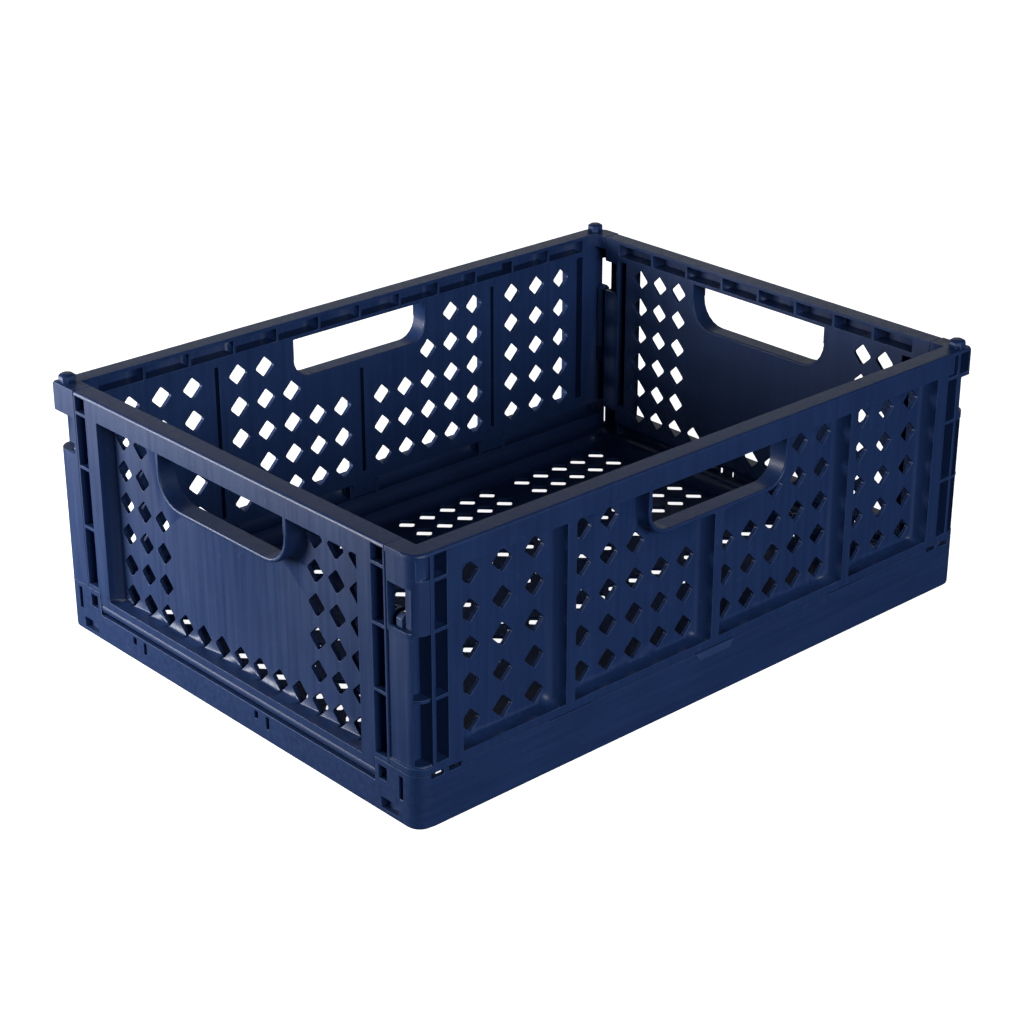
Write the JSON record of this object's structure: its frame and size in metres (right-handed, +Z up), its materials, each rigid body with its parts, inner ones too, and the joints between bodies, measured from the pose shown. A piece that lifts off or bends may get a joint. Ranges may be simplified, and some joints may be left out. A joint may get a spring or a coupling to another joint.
{
  "type": "folding storage crate",
  "caption": "Open rectangular crate with pierced folding walls, hand holes, corner posts and stacking pegs.",
  "frame": {"origin": "middle of the underside, on the surface the crate stands on", "axes": "+X along the long side, +Y along the short side towards the back, +Z up"},
  "size_m": [0.403, 0.299, 0.148],
  "materials": {
    "base_plastic": "satin moulded polypropylene",
    "wall_plastic": "satin moulded polypropylene",
    "latch_plastic": "satin moulded polypropylene"
  },
  "bodies": {
    "crate_body": {"base_tray": "base_plastic", "side_wall_front": "wall_plastic", "side_wall_back": "wall_plastic"},
    "left_end": {"end_wall_left": "wall_plastic"},
    "right_end": {"end_wall_right": "wall_plastic"},
    "left_front_latch": {"latch_tab_left_front": "latch_plastic"},
    "left_back_latch": {"latch_tab_left_back": "latch_plastic"},
    "right_front_latch": {"latch_tab_right_front": "latch_plastic"},
    "right_back_latch": {"latch_tab_right_back": "latch_plastic"}
  },
  "joints": [
    {"name": "left_end_fold", "type": "hinge", "parent": "crate_body", "child": "left_end", "pos_m": [-0.1975, 0, 0.0198], "axis": [0, 1, 0], "range_deg": [0, 90]},
    {"name": "right_end_fold", "type": "hinge", "parent": "crate_body", "child": "right_end", "pos_m": [0.1975, 0, 0.0198], "axis": [0, -1, 0], "range_deg": [0, 90]},
    {"name": "left_front_latch_press", "type": "hinge", "parent": "left_end", "child": "left_front_latch", "pos_m": [-0.19555, -0.13455, 0.0683], "axis": [-1, 0, 0], "range_deg": [0, 3], "stiffness_Nm_per_rad": 0.6},
    {"name": "left_back_latch_press", "type": "hinge", "parent": "left_end", "child": "left_back_latch", "pos_m": [-0.19555, 0.13455, 0.0683], "axis": [1, 0, 0], "range_deg": [0, 3], "stiffness_Nm_per_rad": 0.6},
    {"name": "right_front_latch_press", "type": "hinge", "parent": "right_end", "child": "right_front_latch", "pos_m": [0.19555, -0.13455, 0.0683], "axis": [-1, 0, 0], "range_deg": [0, 3], "stiffness_Nm_per_rad": 0.6},
    {"name": "right_back_latch_press", "type": "hinge", "parent": "right_end", "child": "right_back_latch", "pos_m": [0.19555, 0.13455, 0.0683], "axis": [1, 0, 0], "range_deg": [0, 3], "stiffness_Nm_per_rad": 0.6}
  ]
}
